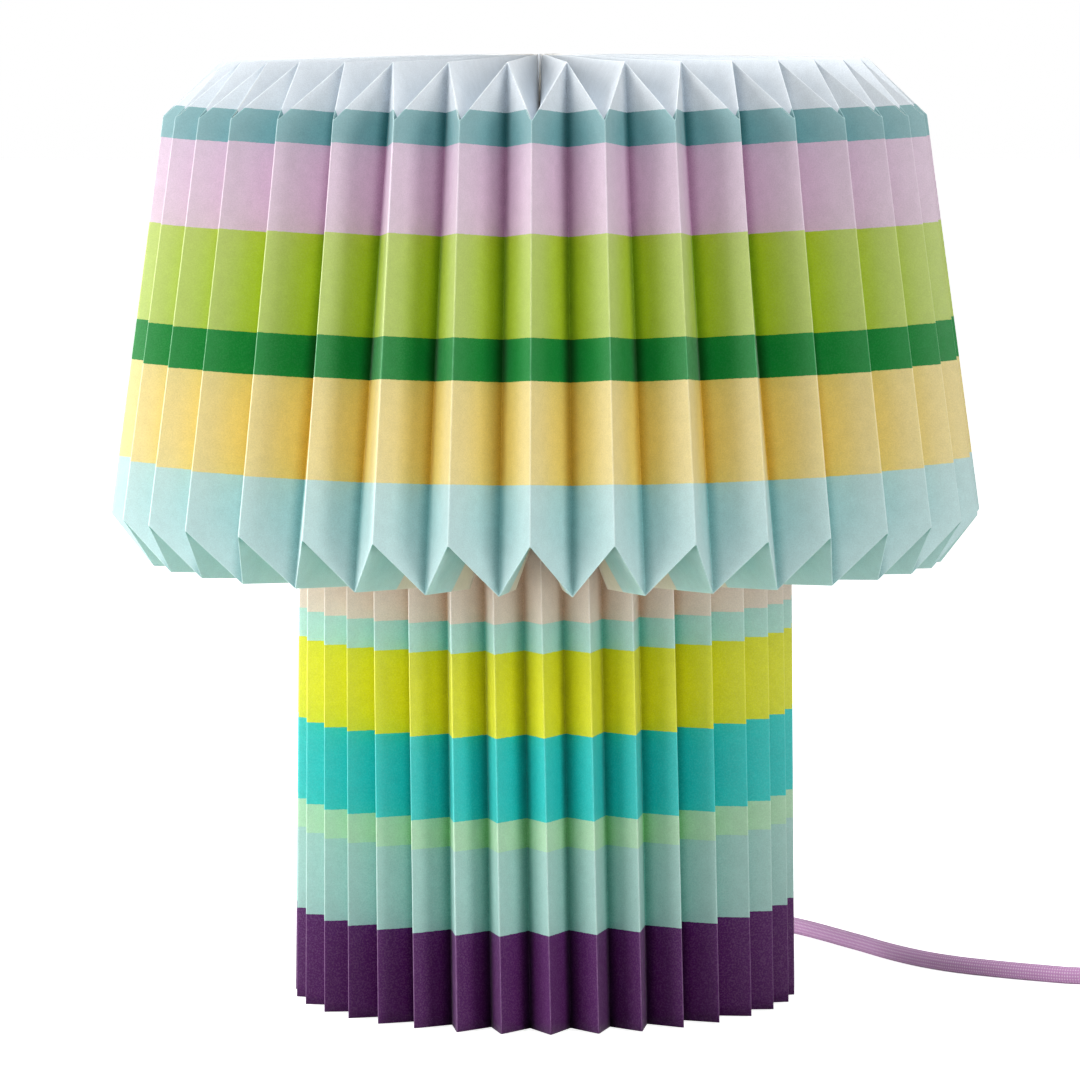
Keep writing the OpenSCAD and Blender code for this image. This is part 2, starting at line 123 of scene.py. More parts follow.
class Nodes:
    """Short names for the shader nodes of one material."""

    def __init__(self, name):
        self.material = bpy.data.materials.new(name)
        self.material.use_nodes = True
        self.tree = self.material.node_tree
        self.shader = self.tree.nodes["Principled BSDF"]

    def add(self, kind, inputs=None, **settings):
        node = self.tree.nodes.new("ShaderNode" + kind)
        for key, value in settings.items():
            setattr(node, key, value)
        for key, value in (inputs or {}).items():
            self.put(node.inputs[key], value)
        return node

    def put(self, socket, value):
        if isinstance(value, bpy.types.NodeSocket):
            self.tree.links.new(value, socket)
        else:
            socket.default_value = value

    def math(self, operation, a, b=0.0):
        return self.add("Math", {0: a, 1: b}, operation=operation).outputs[0]

    def smooth(self, value, low, high, out_low=0.0, out_high=1.0):
        node = self.add("MapRange", {"Value": value, "From Min": low, "From Max": high,
                                     "To Min": out_low, "To Max": out_high},
                        interpolation_type="SMOOTHSTEP")
        return node.outputs[0]

    def mix(self, factor, a, b, blend="MIX"):
        node = self.add("Mix", data_type="RGBA", blend_type=blend)
        self.put(node.inputs["Factor"], factor)
        self.put(node.inputs["A"], a)
        self.put(node.inputs["B"], b)
        return node.outputs["Result"]

    def tinted(self, colour, tone):
        """colour times a grey of the given tone."""
        grey = self.add("CombineColor", {0: tone, 1: tone, 2: tone}).outputs[0]
        return self.mix(1.0, colour, grey, "MULTIPLY")

    def attribute(self, name):
        return self.add("Attribute", attribute_name=name).outputs["Fac"]

    def noise(self, scale, detail=2.0):
        place = self.add("TexCoord").outputs["Object"]
        return self.add("TexNoise", {"Vector": place, "Scale": scale, "Detail": detail}).outputs["Fac"]

    def bump(self, height, strength, distance):
        node = self.add("Bump", {"Height": height, "Strength": strength, "Distance": distance})
        self.put(self.shader.inputs["Normal"], node.outputs[0])

    def finish(self, **inputs):
        for key, value in inputs.items():
            self.put(self.shader.inputs[key.replace("_", " ")], value)
        return self.material


def plain(name, colour, roughness, metallic=0.0, spot=0.05, scale=260, bump=0.12, grain=1300,
          depth=0.00005, **more):
    """A one-colour finish with slight clouding, uneven gloss and a fine surface grain."""
    n = Nodes(name)
    tone = n.smooth(n.noise(scale, 3), 0.3, 0.7, 1 - spot, 1 + spot)
    tint = n.tinted(srgb(colour), tone)
    n.bump(n.noise(grain, 3), bump, depth)
    gloss = n.smooth(n.noise(scale * 1.7, 2), 0.25, 0.75, roughness - 0.05, roughness + 0.05)
    return n.finish(Base_Color=tint, Roughness=gloss, Metallic=metallic, **more)


BRAID_PITCH_MM = 0.95
BRAID_STRANDS = 8


def braided(name):
    """Textile sleeve: two sets of strands cross in small lozenges."""
    n = Nodes(name)
    along = n.math("MULTIPLY", n.attribute("along"), math.pi / BRAID_PITCH_MM)
    around = n.math("MULTIPLY", n.attribute("around"), 2 * math.pi * BRAID_STRANDS)
    left = n.math("SINE", n.math("ADD", around, along))
    right = n.math("SINE", n.math("SUBTRACT", around, along))
    weave = n.math("MULTIPLY", left, right)
    strand = n.smooth(n.noise(2400, 2), 0.2, 0.8, 0.0, 1.0)
    sheer = n.math("ADD", 0.5, n.math("MULTIPLY", strand, 0.45))
    pale = n.math("MULTIPLY", n.smooth(weave, 0.1, 0.8), sheer)
    colour = n.mix(pale, srgb("#D198CC"), srgb("#F5DFF2"))
    n.bump(n.math("ADD", weave, n.math("MULTIPLY", strand, 0.5)), 0.55, 0.00016)
    return n.finish(Base_Color=colour, Roughness=0.78, Sheen_Weight=0.25, Sheen_Roughness=0.4,
                    Specular_IOR_Level=0.3)


def stripe_ramp(n, place, stripes, top, bottom):
    """Colour of the stripe at this place between the sheet's top and bottom."""
    share = n.math("DIVIDE", n.math("SUBTRACT", place, bottom), top - bottom)
    ramp = n.add("ValToRGB", {"Fac": share})
    ramp.color_ramp.interpolation = "CONSTANT"
    edges = [edge for edge, _ in stripes[1:]] + [bottom]
    stops = sorted(((edge - bottom) / (top - bottom), colour)
                   for edge, (_, colour) in zip(edges, stripes))
    elements = ramp.color_ramp.elements
    while len(elements) < len(stops):
        elements.new(0.5)
    for element, (position, colour) in zip(elements, stops):
        element.position = position
        element.color = srgb(colour)
    return ramp.outputs["Color"]


def striped_paper(name, stripes, top, bottom, specks):
    """Printed card: stripes are (upper edge in mm, colour) from the top down."""
    n = Nodes(name)
    # Ink: a slightly uneven edge, clouding and grain; and a greener tint on the lower collar, which is
    # painted light bounced up from the base
    wobble = n.math("MULTIPLY", n.math("SUBTRACT", n.noise(900, 2), 0.5), 0.35)
    place = n.math("ADD", n.attribute("print_v"), wobble)
    mottle = n.smooth(n.noise(260, 3), 0.3, 0.7, 0.965, 1.02)
    grain = n.smooth(n.noise(2600, 2), 0.25, 0.75, 0.92, 1.07)
    colour = n.tinted(stripe_ramp(n, place, stripes, top, bottom), n.math("MULTIPLY", mottle, grain))
    # Painted bounce light: the shaded lower collar is tinted greener
    green_bounce_tint = n.mix(1.0, colour, (0.72, 1.0, 0.9, 1), "MULTIPLY")
    colour = n.mix(n.math("MULTIPLY", n.attribute("under"), 0.5), colour, green_bounce_tint)
    lighter = n.add("Gamma", {"Color": colour, "Gamma": 0.58}).outputs[0]
    lighter = n.mix(0.15, lighter, srgb("#F4F2EC"))
    # Painted light: away from the outer creases the colour is more saturated, standing in for light bounced
    # between the facets; towards the outer creases a pale veil, weaker on dark inks, is a painted highlight
    # for the sheen of the lights
    to_crease = n.attribute("crease")
    bounce_saturated = n.add("HueSaturation", {"Color": colour, "Saturation": 1.2, "Value": 1.0}).outputs[0]
    colour = n.mix(n.smooth(to_crease, 4, 19), colour, bounce_saturated)
    ink = n.add("RGBToBW", {"Color": colour}).outputs[0]
    # Painted highlight: a pale veil near the outer creases
    ridge_sheen = n.math("MULTIPLY", n.smooth(to_crease, 0, 12, 0.24, 0.0), n.smooth(ink, 0.02, 0.3, 0.25, 1.0))
    colour = n.mix(ridge_sheen, colour, lighter)
    colour = n.mix(n.smooth(n.noise(1900, 2), 0.42, 0.66, 0.0, specks), colour, lighter)
    # A pale line on the outer crease itself, partly wear and partly a painted highlight, and painted shade at
    # the bottom of the inner creases
    patchy = n.smooth(n.noise(420, 3), 0.2, 0.8, 0.25, 0.65)
    wear_and_highlight = n.math("MULTIPLY", n.smooth(to_crease, 0.05, 0.6, 1.0, 0.0), patchy)
    colour = n.mix(wear_and_highlight, colour, lighter)
    # Painted shade: darker at the bottom of the inner creases
    groove_shade = n.smooth(n.attribute("hollow"), 0.0, 5.0, 0.9, 0.0)
    colour = n.mix(groove_shade, colour, n.add("Gamma", {"Color": colour, "Gamma": 1.9}).outputs[0])
    # Dark inks are the duller ones
    shine = n.smooth(n.add("RGBToBW", {"Color": colour}).outputs[0], 0.02, 0.45, 0.14, 0.36)
    n.bump(n.math("ADD", n.noise(2600, 3), n.math("MULTIPLY", n.noise(700, 2), 0.6)), 0.16, 0.00008)
    return n.finish(Base_Color=colour, Roughness=n.smooth(n.noise(500, 2), 0.3, 0.7, 0.4, 0.5),
                    Specular_IOR_Level=shine, Sheen_Weight=0.16, Sheen_Roughness=0.35)


# Printed stripes by their upper edges in millimetres: on the shade, along the crease from its upper
# corner, with the collars counted on
SHADE_STRIPES = [(140, "#CDD5DC"), (3.8, "#729FA3"), (-7.6, "#CBB4C6"), (-37.2, "#A6BA52"),
                 (-70.4, "#09782F"), (-83.4, "#DAC680"), (-117.0, "#AACACA"), (-181, "#D8C2AC")]
# On the base sleeve, above the floor
BASE_STRIPES = [(170, "#DFCFBE"), (137.4, "#A4D5CA"), (127.5, "#D3D400"), (99.4, "#00B9B5"),
                (71.5, "#A5D1A9"), (61.4, "#98C4BC"), (33.4, "#501659")]


# ---- Mains lead ------------------------------------------------------------
# Centreline in millimetres: from the strain relief along the floor into the switch, on into
# the coil, and out of it into the plug
RUN = [(0, 112, 13), (1, 126, 11), (6, 140, 7), (16, 151, 4), (30, 157, 3), (45, 157, 3),
       (60, 152, 3), (73, 144, 3), (84, 134, 3), (93, 123, 3), (101, 110, 3), (109, 95, 3),
       (116, 82, 3), (122, 70, 3), (129, 58, 3), (137, 47, 3), (147, 37, 3), (160, 28, 3),
       (174, 20, 3), (188, 14, 3), (198, 11, 5), (208, 10, 8), (213, 10, 8)]
LINK = [(263, 10, 8), (268, 10, 8), (278, 9, 5.5), (288, 8, 3.5), (297, 8, 3)]
TAIL = [(344, 56, 8.7), (346, 66, 7.5), (347, 76, 7), (347, 86, 6.8)]
COIL_AT = (304, 47)
COIL_TURNS = 5.25
COIL_R = 39
COIL_STEP = 6
COIL_RISE = 6.1
COIL_LOOSE = 0.25
POINTS_PER_TURN = 24
LEAD_D = 6.0
PER_SPAN = 3


def ease(value, low, high):
    t = min(max((value - low) / (high - low), 0), 1)
    return t * t * (3 - 2 * t)


def coil_point(turn):
    """Inwards over the floor in three rounds, up, and outwards again on top."""
    inward = ease(turn, 0.85, 1) + ease(turn, 1.85, 2)
    outward = ease(turn, 3.35, 3.5) + ease(turn, 4.35, 4.5)
    loose = COIL_LOOSE * math.sin(7.3 * turn) * ease(turn, 0.1, 0.4) * ease(5.2 - turn, 0, 0.3)
    radius = COIL_R - COIL_STEP * inward + COIL_STEP * outward + loose
    a = math.radians(360 * turn - 90)
    z = LEAD_D / 2 + COIL_RISE * ease(turn, 2.5, 2.85)
    return (COIL_AT[0] + radius * math.cos(a), COIL_AT[1] + radius * math.sin(a), z)


def through(points, per_span):
    """Points of a smooth line through the given ones."""
    p = np.array([2 * np.array(points[0]) - points[1], *points, 2 * np.array(points[-1]) - points[-2]])
    line = []
    for a, b, c, d in zip(p, p[1:], p[2:], p[3:]):
        for t in np.arange(per_span) / per_span:
            line.append(0.5 * (2 * b + (c - a) * t + (2 * a - 5 * b + 4 * c - d) * t * t
                               + (3 * b - 3 * c + d - a) * t ** 3))
    return np.array(line + [p[-2]])


def swept_tube(name, line, radius, sides, material):
    """A round tube along line, with its length and girth kept for the weave. radius may be a list."""
    radius = np.broadcast_to(radius, len(line))
    tangent = np.gradient(line, axis=0)
    tangent /= np.linalg.norm(tangent, axis=1)[:, None]
    side = np.cross(tangent[0], (0, 0, 1))
    rings = []
    along = np.concatenate([[0], np.cumsum(np.linalg.norm(np.diff(line, axis=0), axis=1))])
    for centre, t, r in zip(line, tangent, radius):
        side = side - t * side.dot(t)
        side /= np.linalg.norm(side)
        up = np.cross(side, t)
        rings.append([centre + r * (math.cos(a) * side + math.sin(a) * up)
                      for a in np.linspace(0, 2 * math.pi, sides, endpoint=False)])
    points = np.array(rings)
    count = len(line)
    faces, lengths, girths = [], [], []
    for i in range(count - 1):
        for k in range(sides):
            m = (k + 1) % sides
            faces.append((i * sides + k, i * sides + m, (i + 1) * sides + m, (i + 1) * sides + k))
            lengths += [along[i], along[i], along[i + 1], along[i + 1]]
            girths += [k / sides, (k + 1) / sides, (k + 1) / sides, k / sides]
    for i, order in ((0, range(sides - 1, -1, -1)), (count - 1, range(sides))):
        faces.append([i * sides + k for k in order])
        lengths += [along[i]] * sides
        girths += [0] * sides
    mesh = bpy.data.meshes.new(name)
    mesh.from_pydata((points.reshape(-1, 3) * MM).tolist(), [], faces)
    mesh.update()
    for key, values in (("along", lengths), ("around", girths)):
        mesh.attributes.new(key, "FLOAT", "CORNER").data.foreach_set("value", values)
    return new_object(name, mesh, material)


def rounded_loop(length, width, r, per_corner=8):
    """Outline of a rounded rectangle about the origin, counter-clockwise; a circle if both are 2 r."""
    loop = []
    for quarter, (a, b) in enumerate(((1, 1), (-1, 1), (-1, -1), (1, -1))):
        for i in range(per_corner):
            turn = math.pi / 2 * (quarter + i / (per_corner - 1))
            loop.append((a * (length / 2 - r) + r * math.cos(turn),
                         b * (width / 2 - r) + r * math.sin(turn)))
    return loop


def lofted(name, loops, *materials, ends=True):
    """Skin over loops of equal count, in millimetres: with end faces, or else joined last to first."""
    points = np.array(loops)
    count, n = points.shape[:2]
    faces = []
    for i in range(count - 1 if ends else count):
        k = (i + 1) % count
        for m in range(n):
            after = (m + 1) % n
            faces.append((i * n + m, i * n + after, k * n + after, k * n + m))
    if ends:
        faces += [tuple(range(n - 1, -1, -1)), tuple(range((count - 1) * n, count * n))]
    mesh = bpy.data.meshes.new(name)
    mesh.from_pydata((points.reshape(-1, 3) * MM).tolist(), [], faces)
    mesh.update()
    obj = new_object(name, mesh, *materials)
    modifier(obj, "EDGE_SPLIT", split_angle=math.radians(50))
    return obj


def stand_in(obj, node):
    """Puts a detailed piece in the place of a plainer node of the same body."""
    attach(obj, nodes[node]["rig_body"])
    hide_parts(node)
    return obj


coil = [coil_point(t) for t in np.arange(0, COIL_TURNS + 0.001, 1 / POINTS_PER_TURN)]
route = RUN + LINK + coil + TAIL
centreline = through(route, PER_SPAN)
lead = swept_tube("mains_lead", centreline, LEAD_D / 2, sides=20, material=braided("textile_sleeve"))

LILAC = "#B58BB6"
lilac_plastic = plain("switch_plastic", LILAC, 0.36, spot=0.03, bump=0.3, grain=1900, depth=0.00008)
lilac_rubber = plain("plug_plastic", LILAC, 0.45, spot=0.03, bump=0.3, grain=1500, depth=0.00008)
SWITCH_AT = (238, 10)
SWITCH_LENGTH, SWITCH_WIDTH, SWITCH_CORNER = 60, 25, 7


def switch_outline(steps):
    """Loops of the switch's outline for (inset, height) steps."""
    return [(SWITCH_LENGTH - 2 * i, SWITCH_WIDTH - 2 * i, SWITCH_CORNER - i, z) for i, z in steps]


def switch_half(name, node, profile):
    """profile lists (length, width, corner radius, height) from the bottom up or towards the window."""
    loops = [[(SWITCH_AT[0] + u, SWITCH_AT[1] + v, z) for u, v in rounded_loop(length, width, r)]
             for length, width, r, z in profile]
    return stand_in(lofted(name, loops, lilac_plastic), node)


tray = switch_outline([(1.6, 0.0), (0.5, 0.25), (0.0, 1.1), (0.0, 7.2), (0.25, 7.65), (0.9, 7.9)])
lid = switch_outline([(0.9, 8.05), (0.25, 8.2), (0.0, 8.7), (0.0, 14.6), (0.3, 15.7), (1.1, 16.6),
                      (2.4, 17.0)])
window = [(26.4, 15.2, 2.6, 17.0), (25.4, 14.2, 2.1, 17.35), (24.4, 13.2, 1.6, 17.3),
          (23.6, 12.2, 0.9, 16.9), (23.4, 11.9, 0.8, 12.4)]
lower = switch_half("switch_tray", "switch_base", tray)
upper = switch_half("switch_lid", "switch_cover", lid + window)

GROMMET_IN, GROMMET_OUT = 3, 13
GROMMET_R, GROMMET_TAPER, GROMMET_MOUTH_R = 4.9, 1.3, 3.2
RIB_PITCH, RIB_DEPTH = 2.6, 0.35
SWITCH_END = SWITCH_LENGTH / 2


def grommet(name, wall_x, outward):
    """Ribbed rubber sleeve round the lead where it enters the switch."""
    steps = np.linspace(-GROMMET_IN, GROMMET_OUT, 49)
    x = wall_x + outward * steps
    # The lead on both sides of the switch, which the sleeve follows
    near = centreline[PER_SPAN * (len(RUN) - 8):PER_SPAN * len(RUN + LINK)]
    centre = np.stack([x, np.interp(x, near[:, 0], near[:, 1]), np.interp(x, near[:, 0], near[:, 2])], 1)
    taper = GROMMET_TAPER * np.clip(steps / GROMMET_OUT, 0, 1)
    ribs = RIB_DEPTH * (np.sin(steps * 2 * math.pi / RIB_PITCH) > 0.2)
    radius = GROMMET_R - taper - ribs
    radius[-1] = GROMMET_MOUTH_R
    obj = swept_tube(name, centre, radius, sides=28, material=lilac_rubber)
    modifier(obj, "EDGE_SPLIT", split_angle=math.radians(40))
    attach(obj, "root")
    return obj


grommets = [grommet("grommet_in", SWITCH_AT[0] - SWITCH_END, -1),
            grommet("grommet_out", SWITCH_AT[0] + SWITCH_END, 1)]

# Plug: a ribbed boot that swells into a flat two-pin body
PLUG_AT = TAIL[-1]
boot = [(y, 2 * r, 2 * r, r) for y, r in zip(
    (0, 0.6, 1.8, 2.2, 3.8, 4.2, 5.8, 6.2, 7.8, 8.2, 9.8, 10.2),
    (3.3, 3.9, 3.9, 3.5, 4.3, 3.9, 4.7, 4.2, 5.0, 4.5, 5.3, 4.9))]
shell = [(11.6, 11.4, 10.6, 5.2), (13.2, 15.0, 11.6, 5.2), (15.6, 19.6, 12.6, 5.4),
         (19, 24.4, 13.2, 5.6), (23, 29.2, 13.2, 5.7), (27, 33, 13.2, 5.8), (30, 34.6, 13.2, 5.8),
         (34.4, 35, 13.2, 5.8), (35.6, 34.2, 12.4, 5.4), (36, 32.6, 10.8, 4.6)]
plug_loops = [[(PLUG_AT[0] - u, PLUG_AT[1] + y, PLUG_AT[2] + v) for u, v in rounded_loop(width, thick, r)]
              for y, width, thick, r in boot + shell]
plug = stand_in(lofted("plug_shell", plug_loops, lilac_rubber), "plug_body")

# Tie: a woven strap once round the coil, its end lapped over
strap = plain("tie_strap", "#6F6F74", 0.85, spot=0.15, bump=0.8, grain=1200, depth=0.0003)
TIE_X = COIL_AT[0] - 33
TIE_Z = 6.8
tie_loops = []
for width, height, r, y in ((20.4, 13.2, 3.4, -5.8), (20.8, 13.6, 3.6, -5.4), (20.8, 13.6, 3.6, 5.4),
                            (20.4, 13.2, 3.4, 5.8), (19.2, 12.0, 2.8, 5.6), (19.0, 11.8, 2.7, -5.6)):
    tie_loops.append([(TIE_X - u, COIL_AT[1] + y, TIE_Z + v) for u, v in rounded_loop(width, height, r)])
tie = stand_in(lofted("coil_strap", tie_loops, strap, ends=False), "coil_tie")
lap_loops = [[(TIE_X - 1 + u, COIL_AT[1] + v, z) for u, v in rounded_loop(13 - 2 * i, 11 - 2 * i, 1.5)]
             for i, z in ((0.4, 13.3), (0, 13.6), (0, 14.1), (0.4, 14.4))]
lap = lofted("strap_end", lap_loops, strap)
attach(lap, "root")

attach(lead, "root")
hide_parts("cord_run", "cord_link", "cord_coil", "cord_tail")


# ---- Pleated paper ---------------------------------------------------------
FACET_MM = 20.5
CARD_MM = 0.4
CREASE_ROUND = 0.8
COLLAR_R = 111
COLLAR_Z = 295
LONG_PANEL = 30
# Radii of the upper collar's stations inside its fold, from the gathered hole outwards
GATHER = (8, 24, 45, 75)
# How the collar settled: its gather off the axis, the degrees that each station and the fold are
# twisted at the back, and the height gained at the back and one side
GATHER_OFF = 1.8
GATHER_TWIST = (2.5, 3.6, 1.8, 0.6, 0)
BACK_RAISED, SIDE_RAISED = 0.9, 0.4
RAISED_FROM, RAISED_FULLY = 290, 320


def on_axis(radius, height, angle):
    a = math.radians(angle)
    return np.array([radius * math.sin(a), -radius * math.cos(a), height])


def round_corner(a, corner, b, reach, steps=4):
    """Points of a small arc that replaces the corner between a and b."""
    def toward(end):
        length = np.linalg.norm(end - corner)
        return corner + (end - corner) * min(reach / length, 0.45)
    start, stop = toward(a), toward(b)
    return [(1 - t) ** 2 * start + 2 * t * (1 - t) * corner + t * t * stop
            for t in np.linspace(0, 1, steps + 1)]


def settle(x, y, z):
    """Upper collar as it came to rest: gathered a little off the axis, twisted and raised at the back."""
    r = math.hypot(x, y)
    inward = max(1 - r / COLLAR_R, 0) if z > COLLAR_Z else 0
    back = 0.5 + 0.5 * y / r
    twist = -math.radians(np.interp(r, (*GATHER, COLLAR_R), GATHER_TWIST)) * back
    twist *= inward > 0
    raised = BACK_RAISED * (1 + y / COLLAR_R) + SIDE_RAISED * x / COLLAR_R
    share = min(max((z - RAISED_FROM) / (RAISED_FULLY - RAISED_FROM), 0), 1)
    return (x * math.cos(twist) - y * math.sin(twist) - GATHER_OFF * inward,
            x * math.sin(twist) + y * math.cos(twist), z + raised * share)


def crease_lines(pleats, uneven, ridge, groove, rest):
    """Stations of every crease, outer and inner in turn, each a little off its ideal place."""
    count = 2 * pleats
    crease = np.zeros((count, len(ridge), 4))
    for j in range(count):
        turn = (j // 2 + pleats // 2) % pleats - pleats // 2
        drift = uneven[turn] if j % 2 == 0 and turn in uneven else rng.uniform(-0.25, 0.25)
        for k, (radius, height, angle, v) in enumerate(ridge if j % 2 == 0 else groove):
            lean = drift + rng.uniform(-0.12, 0.12)
            lift = rng.uniform(-0.25, 0.25)
            point = on_axis(radius + lift, height + lift * 0.4, j * 360 / count + angle + lean)
            crease[j, k, :3] = rest(*point) if rest else point
            crease[j, k, 3] = v
    return crease


def facet_columns(crease, facet, shares, bow):
    """Columns of stations round the sheet, with the crease each one is next to, how far off it
    is and how far it bows outwards. A crease is a narrow arc, the outer ones wider."""
    columns, beside = [], []
    for j, here in enumerate(crease):
        before, after = crease[j - 1], crease[(j + 1) % len(crease)]
        swell = rng.uniform(-bow, bow)
        fold = CREASE_ROUND if j % 2 == 0 else CREASE_ROUND * 0.5
        left = here + (before - here) * fold / facet
        right = here + (after - here) * fold / facet
        for t in (0.0, 0.2, 0.4, 0.6, 0.8, 1.0):
            columns.append((1 - t) ** 2 * left + 2 * t * (1 - t) * here + t * t * right)
            beside.append((j, abs(2 * t - 1) * fold, 0.0))
        for u in shares:
            columns.append(here + (after - here) * u)
            beside.append((j if u < 0.5 else j + 1, min(u, 1 - u) * facet, 4 * u * (1 - u) * swell))
    return columns, beside


def run_down(column, folds, rows, out):
    """Points down one column and the panel of each: folds are rounded and long panels bow by out."""
    points, panel = [], []
    here = column[0]
    last = len(column) - 2
    for k in range(last + 1):
        stop = column[k + 1]
        rounded = None
        if k + 1 in folds:
            rounded = round_corner(here, stop, column[k + 2], CREASE_ROUND * 1.2)
            stop = rounded[0]
        outward = np.array([stop[0], stop[1], 0, 0]) / math.hypot(stop[0], stop[1])
        for i in range(rows[k]):
            bulge = out * math.sin(math.pi * i / rows[k]) if rows[k] >= LONG_PANEL else 0
            points.append(here + (stop - here) * i / rows[k] + bulge * outward)
            panel.append(k)
        if rounded:
            points.extend(rounded[:-1])
            panel.extend([k] * 2 + [k + 1] * 2)
        here = rounded[-1] if rounded else stop
    return np.array(points + [column[-1]]), panel + [last]


def pleated_sheet(name, pleats, uneven, ridge, groove, folds, materials, rows, shares, bow, rest=None):
    """A ring of pleats. ridge and groove are the stations of the outer and the inner crease
    as (radius, height, angle, print_v); folds names the stations that lie on a diagonal fold;
    uneven holds the angles by which some ridges, counted from the front, stand off their place;
    rest moves a point of a crease to where it settled."""
    crease = crease_lines(pleats, uneven, ridge, groove, rest)
    facet = float(np.linalg.norm((crease[1, 0] - crease[0, 0])[:3]))
    columns, beside = facet_columns(crease, facet, shares, bow)
    points, near, hollow, under, body = [], [], [], [], []
    for column, (j, away, out) in zip(columns, beside):
        down, panels = run_down(column, folds, rows, out)
        corners = [column[k] for k in folds]
        for p, k in zip(down, panels):
            # Beyond a diagonal fold the outer creases are the inner ones
            side = folds[0] <= k < folds[-1] if folds else True
            to_crease = away if (j % 2 == 0) == side else facet - away
            to_fold = min([np.linalg.norm(p[:3] - c[:3]) * 0.72 for c in corners] + [facet])
            near.append(min(to_crease, to_fold))
            hollow.append(facet - to_crease)
            under.append(float(bool(folds) and k >= folds[-1]))
            room = to_crease * math.hypot(p[0], p[1]) * math.pi / pleats / facet
            body.append(min(max(0.9 * (room + 0.03) / CARD_MM, 0.06), 1))
        points.append(down)
    points = np.array(points)
    mesh = grid_mesh(name, points[:, :, :3] * MM)
    for key, values in (("print_v", points[:, :, 3]), ("crease", near), ("hollow", hollow), ("under", under)):
        float_attribute(mesh, key, values)
    obj = new_object(name, mesh, *materials)
    # The card keeps its thickness except where two facets close on each other
    group = obj.vertex_groups.new(name="card")
    for index, weight in enumerate(body):
        group.add([index], weight, "REPLACE")
    modifier(obj, "SOLIDIFY", thickness=CARD_MM * MM, offset=-1, material_offset=1,
             material_offset_rim=1, vertex_group="card")
    return obj


SHADE_PLEATS = 36
SLEEVE_PLEATS = 35
# Degrees by which the pleats near the front stand off their place
SHADE_UNEVEN = {-5: -0.5, -4: -0.2, -3: 0.1, -2: -0.2, -1: -0.5,
                0: -0.3, 1: -0.1, 2: 0.2, 3: 0.1, 4: -0.4}
SLEEVE_UNEVEN = {-6: 1.1, -5: 0.5, -4: -0.4, -3: -0.6, -2: -0.4, -1: -0.6,
                 0: -0.1, 1: 0.1, 2: -0.2, 4: -0.3, 5: 0.6, 6: 0.9}

# Corners of the shade's creases as (radius, height), and its turn against the front
RIDGE_UP, GROOVE_UP = (131.6, 304.4), (COLLAR_R, 323.3)
RIDGE_DOWN, GROOVE_DOWN = (150.5, 169.4), (137.2, 151.9)
SHADE_TURN = -1.6
OPENING_R = 88.6
COLLAR_FALL = 0.05
LOW_COLLAR_FALL = 3
CORNER_LAP = 20.9


def shade_creases():
    """Stations of the shade's outer and inner creases, from the gathered hole to the lower opening."""
    half = math.radians(180 / SHADE_PLEATS / 2)

    def amplitude(r):
        return math.sqrt(FACET_MM ** 2 - (2 * r * math.sin(half)) ** 2)

    def collar_top(r, is_ridge):
        z = RIDGE_UP[1] + (RIDGE_UP[0] - r) * math.tan(math.radians(COLLAR_FALL))
        return z + (0 if is_ridge else amplitude(r))

    def collar_low(r, is_ridge):
        z = GROOVE_DOWN[1] - (GROOVE_DOWN[0] - r) * math.tan(math.radians(LOW_COLLAR_FALL))
        return z + (amplitude(r) if is_ridge else 0)

    made = []
    for is_ridge, up, down in ((True, RIDGE_UP, RIDGE_DOWN), (False, GROOVE_UP, GROOVE_DOWN)):
        side = math.dist(up, down)
        v_up = 0.0 if is_ridge else CORNER_LAP
        stations = [(r, collar_top(r, is_ridge), SHADE_TURN, v_up + up[0] - r) for r in GATHER]
        stations.append((*up, SHADE_TURN, v_up))
        stations.append((*down, SHADE_TURN, v_up - side))
        stations.append((OPENING_R, collar_low(OPENING_R, is_ridge), SHADE_TURN,
                         v_up - side - (down[0] - OPENING_R)))
        made.append(stations)
    return made


shade_card = striped_paper("shade_card", SHADE_STRIPES, top=140, bottom=-215, specks=0.05)
base_card = striped_paper("base_card", BASE_STRIPES, top=175, bottom=-5, specks=0.17)
card_back = plain("card_back", "#ECE9E1", 0.6, spot=0.03, bump=0.2, grain=2200, depth=0.00008)
shade = pleated_sheet("shade_pleats", SHADE_PLEATS, SHADE_UNEVEN, *shade_creases(), folds=(4, 5),
                      materials=(shade_card, card_back), rows=(3, 4, 5, 8, 30, 14),
                      shares=(0.1, 0.3, 0.5, 0.7, 0.9), bow=0.4, rest=settle)
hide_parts("shade_top_collar", "shade_side", "shade_low_collar")
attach(shade, "shade")

# The base sleeve: (radius of a ridge, height, turn against the front) at its top and its foot
SLEEVE_ENDS = [(85.6, 165, -1.0), (87.6, 0.6, 1.3)]
SLEEVE_DEPTH = 12.4


def sleeve_crease(depth):
    """Stations of a crease that lies this far inside the ridges. Its print is fitted below."""
    return [(radius - depth, height, turn, height) for radius, height, turn in SLEEVE_ENDS]


sleeve = pleated_sheet("base_pleats", SLEEVE_PLEATS, SLEEVE_UNEVEN, sleeve_crease(0),
                       sleeve_crease(SLEEVE_DEPTH), folds=(), materials=(base_card, card_back),
                       rows=(40,), shares=(0.15, 0.38, 0.62, 0.85), bow=0.3)
# The stripes sit a little askew on the sleeve, and lower at its sides
PRINT_TILT, PRINT_BEND = 1.5, 0.6
printed = []
for vertex in sleeve.data.vertices:
    side = vertex.co.x / math.hypot(vertex.co.x, vertex.co.y)
    printed.append(vertex.co.z / MM - PRINT_TILT * side + PRINT_BEND * side * side)
sleeve.data.attributes["print_v"].data.foreach_set("value", printed)
